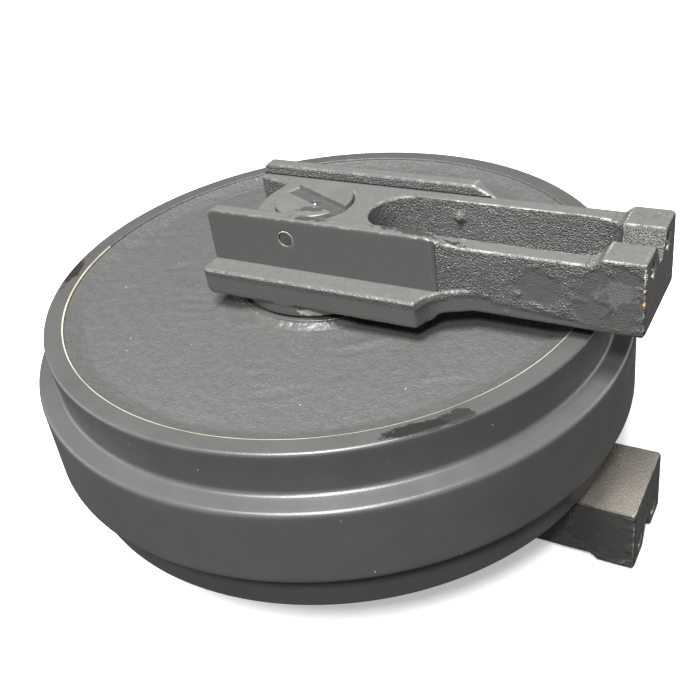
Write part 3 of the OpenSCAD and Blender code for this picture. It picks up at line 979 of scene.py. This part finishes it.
@dataclass
class AxleEnds:
    """The shaft, its lock pins and the oil fill plug."""

    guide_y: float = 55.0
    pin_r: float = 7.0
    pin_z: float = 141.0
    pin_in: float = 41.0
    pin_sunk: float = 0.5
    pin_bevel: float = 1.0
    pin_nose: float = 1.2
    # Ring of paint round a pin: lap on the pin, width at its crown and foot, and their levels.
    ring_lap: float = 0.1
    ring_crown: float = 0.2
    ring_foot: float = 0.35
    ring_crown_at: float = -0.7
    ring_foot_at: float = -0.1
    pin_steps: int = 64
    ring_steps: int = 96
    finest: float = 4.0
    slot_floor: float = 149.0
    # Plug: level of its seat, then the radius and height of its shank, head and dome.
    plug_z: float = 145.2
    shank_r: float = 3.9
    shank_deep: float = 9.2
    head_r: float = 5.2
    head_t: float = 2.2
    dome_foot_r: float = 3.3
    dome_r: float = 2.9
    dome_side: float = 3.6
    dome_top: float = 4.6
    plug_finest: float = 1.5
    plug_steps: int = 64
    body: str = "carrier"

    def build(self, turned: Material, shaded: Material, pin: Material, bead: Material,
              plated: Material) -> None:
        """Builds the shaft, pins and plug.

        Args:
            turned: Finish of the shaft.
            shaded: Finish of the milled slot's floor, in painted shade.
            pin: Finish of the lock pins.
            bead: Finish of the broken paint round a pin.
            plated: Finish of the oil plug.
        """
        self.shaft(turned, shaded)
        for side in Side:
            self.lock_pin(side, pin, bead)
        self.plug(plated)

    def shaft(self, turned: Material, shaded: Material) -> None:
        """The shaft from its solid, with the slot's floor set apart.

        Args:
            turned: Finish of the shaft.
            shaded: Finish of the slot's floor, in painted shade.
        """
        bm = merged_copy("shaft")
        for face in bm.faces:
            level = face.calc_center_median().z / MM
            # Painted shade: the slot's floor gets its own darker finish.
            face.material_index = int(face.normal.z > 0.9 and abs(level - self.slot_floor) < 0.5)
        finish_piece("shaft_bar", bm, [turned, shaded], self.body, ("shaft",))

    def lock_pin(self, side: Side, pin: Material, bead: Material) -> None:
        """A lock pin with the ring of broken paint at its end.

        Args:
            side: Which bracket it locks.
            pin: Finish of the pin.
            bead: Finish of the ring.
        """
        r, length = self.pin_r, self.pin_in
        body = spun([
            (0, 0, 0), (r - self.pin_nose, 0, 0.6), (r, self.pin_bevel, 0.6),
            (r, length - self.pin_bevel, 0.4), (r - self.pin_bevel, length, 0.4),
            (0, length, 0)], self.finest, self.pin_steps)
        ring = spun([
            (r - self.ring_lap, self.ring_crown_at, 0), (r + self.ring_crown, self.ring_crown_at, 0.1),
            (r + self.ring_foot, self.ring_foot_at, 0),
            (r - self.ring_lap, self.ring_foot_at, 0)], self.finest, self.ring_steps)
        for vert in ring.verts:
            vert.co.xy *= 1 + 0.04 * noise.noise(vert.co * 900)
        for bm, name, made in ((body, "lock_pin_bar", pin), (ring, "lock_pin_paint_ring", bead)):
            bmesh.ops.rotate(bm, verts=bm.verts[:], matrix=Matrix.Rotation(-math.pi / 2, 3, "X"))
            bmesh.ops.translate(bm, verts=bm.verts[:], vec=(
                0, (self.pin_sunk - self.guide_y) * MM, side.value * self.pin_z * MM))
            nodes = (side.named("lock_pin"),) if bm is body else ()
            finish_piece(side.named(name), bm, [made], self.body, nodes)

    def plug(self, plated: Material) -> None:
        """The oil fill plug with its domed head.

        Args:
            plated: Finish of the plug.
        """
        base = self.plug_z
        bm = spun([
            (0, base - self.shank_deep, 0), (self.shank_r, base - self.shank_deep, 0.5),
            (self.shank_r, base, 0), (self.head_r, base, 0.2), (self.head_r, base + self.head_t, 0.6),
            (self.dome_foot_r, base + self.head_t, 0.3), (self.dome_r, base + self.dome_side, 1.2),
            (0, base + self.dome_top, 0)], self.plug_finest, self.plug_steps)
        finish_piece("oil_fill_plug_head", bm, [plated], self.body, ("oil_fill_plug",))


@dataclass
class PhotoCamera:
    """The camera of the photograph.

    Its pose is in degrees and metres, its lens in pixels of the photo and its sensor in millimetres.
    """

    azimuth: float = 33.278
    elevation: float = 33.364
    roll: float = 8.911
    distance: float = 0.981152
    focal: float = 1006.849
    centre_x: float = 336.598
    centre_y: float = 340.133
    frame_px: float = 700.0
    sensor: float = 36.0
    near: float = 0.05

    def build(self) -> None:
        """Makes the camera the scene's own."""
        a, e, tilt = (math.radians(v) for v in (self.azimuth, self.elevation, self.roll))
        back = Vector((math.sin(a) * math.cos(e), -math.cos(a) * math.cos(e), math.sin(e)))
        level = Vector((math.cos(a), math.sin(a), 0))
        rise = back.cross(level)
        right = math.cos(tilt) * level - math.sin(tilt) * rise
        up = math.sin(tilt) * level + math.cos(tilt) * rise
        data = bpy.data.cameras.new("photo_camera")
        data.sensor_width = self.sensor
        data.lens = self.sensor * self.focal / self.frame_px
        data.shift_x = (self.frame_px / 2 - self.centre_x) / self.frame_px
        data.shift_y = (self.centre_y - self.frame_px / 2) / self.frame_px
        data.clip_start = self.near
        camera = bpy.data.objects.new("photo_camera", data)
        pose = Matrix((right, up, back)).transposed().to_4x4()
        pose.translation = back * self.distance
        camera.matrix_world = pose
        bpy.context.scene.collection.objects.link(camera)
        bpy.context.scene.camera = camera


@dataclass(frozen=True)
class SoftBox:
    """A large soft light: place in metres, size in metres and power in watts."""

    name: str
    place: Point
    size: float
    power: float


@dataclass
class Studio:
    """A plain pale floor and a pale sweep round it under soft light, in metres."""

    floor_z: float = -0.1605
    floor_half: float = 30.0
    wall_r: float = 14.0
    wall_rise: float = 16.0
    cove_r: float = 6.0
    paper_glow: float = 0.4
    boxes: tuple[SoftBox, ...] = (
        SoftBox("back_box", (1.9, 1.9, 1.1), 1.6, 30.0),
        SoftBox("overhead_box", (0.1, -0.9, 2.8), 1.1, 235.0),
        SoftBox("key_box", (0.61, -1.37, 1.61), 0.3, 50.0),
        SoftBox("left_box", (-2.2, -0.7, 0.8), 1.5, 18.0))
    world: float = 0.19

    def build(self) -> None:
        """Makes the floor, the sweep, the lights and the even surround."""
        paper = self.floor_paper()
        bm = bmesh.new()
        bmesh.ops.create_grid(bm, x_segments=4, y_segments=4, size=self.floor_half)
        bmesh.ops.translate(bm, verts=bm.verts[:], vec=(0, 0, self.floor_z))
        self.backdrop("studio_floor", bm, paper)
        self.backdrop("studio_sweep", self.sweep(), paper).visible_shadow = False
        for box in self.boxes:
            data = bpy.data.lights.new(box.name, "AREA")
            data.size = box.size
            data.energy = box.power
            lamp = bpy.data.objects.new(box.name, data)
            lamp.location = box.place
            lamp.rotation_euler = Vector(box.place).to_track_quat("Z", "Y").to_euler()
            bpy.context.scene.collection.objects.link(lamp)
        world = bpy.data.worlds.new("studio_surround")
        world.use_nodes = True
        world.node_tree.nodes["Background"].inputs["Color"].default_value = linear("#ffffff")
        world.node_tree.nodes["Background"].inputs["Strength"].default_value = self.world
        bpy.context.scene.world = world
        bpy.context.scene.view_settings.view_transform = "Standard"

    def sweep(self) -> BMesh:
        """The sweep: a cove that rises from the floor into a round wall.

        Returns:
            A bmesh of the sweep.
        """
        bm = bmesh.new()
        toe = self.wall_r - self.cove_r
        foot = bm.verts.new((toe, 0, self.floor_z))
        cove = bmesh.ops.spin(bm, geom=[foot], cent=(toe, 0, self.floor_z + self.cove_r), axis=(0, -1, 0),
                              angle=FULL_TURN / 4, steps=12)
        crown = [item for item in cove["geom_last"] if isinstance(item, bmesh.types.BMVert)]
        wall = bmesh.ops.extrude_vert_indiv(bm, verts=crown)
        bmesh.ops.translate(bm, verts=wall["verts"], vec=(0, 0, self.wall_rise))
        bmesh.ops.spin(bm, geom=bm.verts[:] + bm.edges[:], cent=(0, 0, 0), axis=(0, 0, 1),
                       angle=FULL_TURN, steps=96, use_merge=True)
        bmesh.ops.recalc_face_normals(bm, faces=bm.faces[:])
        return bm

    def backdrop(self, name: str, bm: BMesh, paper: Material) -> bpy.types.Object:
        """A stage object of backdrop paper, which throws no light back on the idler.

        Args:
            name: Name of the object.
            bm: Its bmesh, which is freed.
            paper: Its finish.

        Returns:
            The new object.
        """
        mesh = bpy.data.meshes.new(name)
        bm.to_mesh(mesh)
        bm.free()
        mesh.materials.append(paper)
        mesh.shade_smooth()
        sheet = bpy.data.objects.new(name, mesh)
        sheet.visible_diffuse = False
        sheet.visible_glossy = False
        bpy.context.scene.collection.objects.link(sheet)
        return sheet

    def floor_paper(self) -> Material:
        """Matt white backdrop paper, which gives the eye an even pale ground with no sheen.

        Returns:
            The paper's material.
        """
        made, shader, place = blank_finish("matt_backdrop_paper")
        tree = made.node_tree
        shader.inputs["Roughness"].default_value = 0.9
        shader.inputs["Specular IOR Level"].default_value = 0.1
        shader.inputs["Emission Color"].default_value = linear("#ffffff")
        shader.inputs["Emission Strength"].default_value = self.paper_glow
        paper = mixed(tree, cloud(tree, place, 40.0), "#e6e6e5", "#e2e2e2")
        tree.links.new(paper, shader.inputs["Base Color"])
        return made


# A smooth satin black-grey that mirrors the lights in long bands, with a few dark oil stains.
TURNED_ENAMEL = Enamel(
    "satin_enamel_on_turned_steel", Stock.TURNED, "#414140", "#474746", 0.35, 0.05, 60.0,
    (Grain(1.3, 0.09), Grain(14.0, 0.05)), speck_share=0.17,
    marks=(
        Mark((182, -183, 80), (39, 9, 1.6), 43, "#1f1f1e", 0.3, 0.35, 14.0),
        Mark((201, -161, 80), (13, 8, 1.6), 51, "#272726", 0.33, 0.5, 9.0),
        Mark((-248, -76, 80), (30, 9, 6), 105, "#241f1b", 0.35)))
# A duller grey over rolling cast skin, which breaks up the light, with pale specks of dust.
WEB_ENAMEL = Enamel(
    "satin_enamel_on_cast_web", Stock.CAST_WEB, "#464645", "#4c4c4a", 0.42, 0.08, 9.0,
    (Grain(26.0, 0.35, 5.0), Grain(6.0, 1.0, 4.0), Grain(1.5, 0.6)), speck_share=0.24)
# A pale, warm line on the lip's front arc: partly the coat rubbed thin, partly a painted highlight.
LIP_WEAR_AND_HIGHLIGHT_ENAMEL = Enamel(
    "thin_enamel_on_rim_edge", Stock.TURNED, "#8a8473", "#cdc3ab", 0.4, 0.08, 60.0,
    (Grain(1.5, 0.04),))
# Grit of the moulding sand, which glints grain by grain, and a fine spray texture on milled faces.
CAST_GRAINS = (Grain(2.7, 0.95, 3.0), Grain(1.5, 1.1, 1.0, Relief.SAND), Grain(1.2, 0.03, masked=False))
# Glossy grit on the raw sides, smooth grey in painted shade on the milled faces, pale worn edges, corners in
# painted shade with grime, and dust with painted light on the faces that look up.
# Its marks: chips and rust on the end's corner, stains on the rail, hazes on pad and end, a pale patch on
# the boss.
CAST_ENAMEL = Enamel(
    "satin_enamel_on_sand_casting", Stock.SAND_CAST, "#454543", "#4e4e4b", 0.31, 0.07, 22.0,
    CAST_GRAINS, speck_share=0.2, milled="#434341", worn="#c2c1bb", dust_and_top_light="#646462",
    marks=(
        Mark((304, -45, 145), (2.3, 2.3, 9), 0, "#dcd7c8", 0.5, 0.3, 4.0),
        Mark((304, -45, 133), (2.1, 2.1, 3.5), 0, "#d9b883", 0.5, 0.3, 3.0),
        Mark((304, -45, 122), (2.2, 2.2, 5), 0, "#d3a768", 0.5, 0.3, 3.0),
        Mark((118, -47, 160), (30, 5, 3), -4, "#2f2f2e", 0.45, 0.85, 6.0),
        Mark((22, -48, 160), (17, 4, 3), 3, "#353534", 0.45, 0.85, 5.0),
        Mark((143, -40, 153), (17, 4.5, 7), -8, "#1f1f1e", 0.45, 0.6, 5.0),
        Mark((285, 31, 160), (24, 15, 4), 0, "#4c4c4b", 0.42, 0.7, 6.0),
        Mark((284, -45, 128), (15, 4, 10), 0, "#535351", 0.45, 0.9, 8.0),
        Mark((33, -70, 82), (20, 7, 3.5), 25, "#8d8c86", 0.45, 0.6, 5.0)))
# The same grit, darker all over as painted shade, under a brownish film of dust, partly painted light, on
# the faces that look up.
SHADED_DUSTY_CAST_ENAMEL = Enamel(
    "shaded_dusty_enamel_on_sand_casting", Stock.SAND_CAST, "#333331", "#3d3d3b", 0.40, 0.07, 22.0,
    CAST_GRAINS, speck_share=0.2, milled="#323230", worn="#b9b8b2", dust_and_top_light="#7b756b",
    dust_and_light_share=(0.5, 0.85), dust_and_light_patch=2.2)
# A thin, slightly paler grey on a flat turned face, with one dark smear.
SHAFT_ENAMEL = Enamel(
    "satin_enamel_on_shaft_end", Stock.TURNED, "#50504e", "#585855", 0.4, 0.06, 16.0,
    (Grain(1.5, 0.02), Grain(9.0, 0.05)), speck_share=0.2,
    marks=(Mark((8, -20, 153.5), (14, 5, 3), 10, "#3a3a39", 0.45, 0.7, 8.0),))
# Glossy dark enamel that picks out each lump and scale of the weld with a small light.
WELD_ENAMEL = Enamel(
    "satin_enamel_on_weld_bead", Stock.WELD, "#3f3f3d", "#4c4c49", 0.35, 0.08, 12.0,
    (Grain(2.2, 0.18, 3.0),), speck_share=0.03)
# Grey that is darker than the shaft's end: painted shade on the slot's floor, and a little duller.
SLOT_SHADE_ENAMEL = Enamel(
    "enamel_with_painted_shade_in_slot", Stock.TURNED, "#3b3b3a", "#444443", 0.42, 0.06, 14.0,
    (Grain(1.5, 0.02),))
# A dark even disc.
PIN_ENAMEL = Enamel(
    "satin_enamel_on_pin_end", Stock.TURNED, "#353534", "#3d3d3b", 0.4, 0.06, 6.0, (Grain(1.5, 0.03),))
# A ring that goes from dark paint to pale bare steel and back, where the paint film cracked.
BROKEN_ENAMEL = Enamel(
    "broken_enamel_ring", Stock.TURNED, "#3a3a39", "#b4b3ac", 0.4, 0.08, 11.0, (Grain(1.0, 0.05),))
# Warm yellow-brown metal with a soft shine.
BRONZE = BareFinish("turned_bearing_bronze", "#b08d57", "#94713f", 1.0, 0.25, 0.4, 0.6, 0.01)
# Near-mirror pale steel.
LAPPED = BareFinish("lapped_seal_steel", "#b9bcc0", "#a3a6aa", 1.0, 0.12, 0.25, 0.5, 0.004)
# Dull black rubber.
NITRILE = BareFinish("moulded_nitrile_rubber", "#1c1c1c", "#262626", 0.0, 0.5, 0.65, 1.0, 0.02)
# Bright silvery metal with small sharp lights.
PLATED = BareFinish("zinc_plated_steel", "#d4d5d4", "#b9bab8", 1.0, 0.16, 0.3, 0.8, 0.01)
# Bright bare steel, dulled a little by cutting oil.
CUT_THREAD = BareFinish("bright_cut_thread", "#d0d0cb", "#aaaaa5", 1.0, 0.28, 0.5, 0.8, 0.01)
# Reddish soft metal with a broad shine.
COPPER = BareFinish("annealed_copper", "#b87045", "#94552f", 1.0, 0.28, 0.42, 0.8, 0.01)


def dress_hidden(node: str, made: Material) -> None:
    """Gives a CAD node that stays its finish.

    Args:
        node: The CAD node.
        made: Its finish.
    """
    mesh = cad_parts[node].data
    if not mesh.materials:
        mesh.materials.append(made)
    for index in range(len(mesh.materials)):
        mesh.materials[index] = made
    LOG.info("%s: %s", node, made.name)


def main() -> None:
    """Builds the idler, its studio and its camera."""
    logging.basicConfig(level=logging.INFO, format="%(name)s %(message)s")
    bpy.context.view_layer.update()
    turned = TURNED_ENAMEL.make()
    IdlerWheel().build(turned, WEB_ENAMEL.make(), LIP_WEAR_AND_HIGHLIGHT_ENAMEL.make(), WELD_ENAMEL.make())
    cut = CUT_THREAD.make()
    GuideBracket(Side.UPPER).build(CAST_ENAMEL.make(), cut)
    GuideBracket(Side.LOWER).build(SHADED_DUSTY_CAST_ENAMEL.make(), cut)
    AxleEnds().build(SHAFT_ENAMEL.make(), SLOT_SHADE_ENAMEL.make(), PIN_ENAMEL.make(), BROKEN_ENAMEL.make(),
                     PLATED.make())
    bronze, lapped, rubber = BRONZE.make(), LAPPED.make(), NITRILE.make()
    dress_hidden("hub_tube", turned)
    dress_hidden("plug_seal_washer", COPPER.make())
    for side in Side:
        dress_hidden(side.named("bushing"), bronze)
        for part in ("rotating", "static"):
            dress_hidden(side.named(part + "_seal_ring"), lapped)
            dress_hidden(side.named(part + "_toric"), rubber)
        dress_hidden(side.named("shaft_o_ring"), rubber)
    Studio().build()
    PhotoCamera().build()


if __name__ == "__main__":
    main()
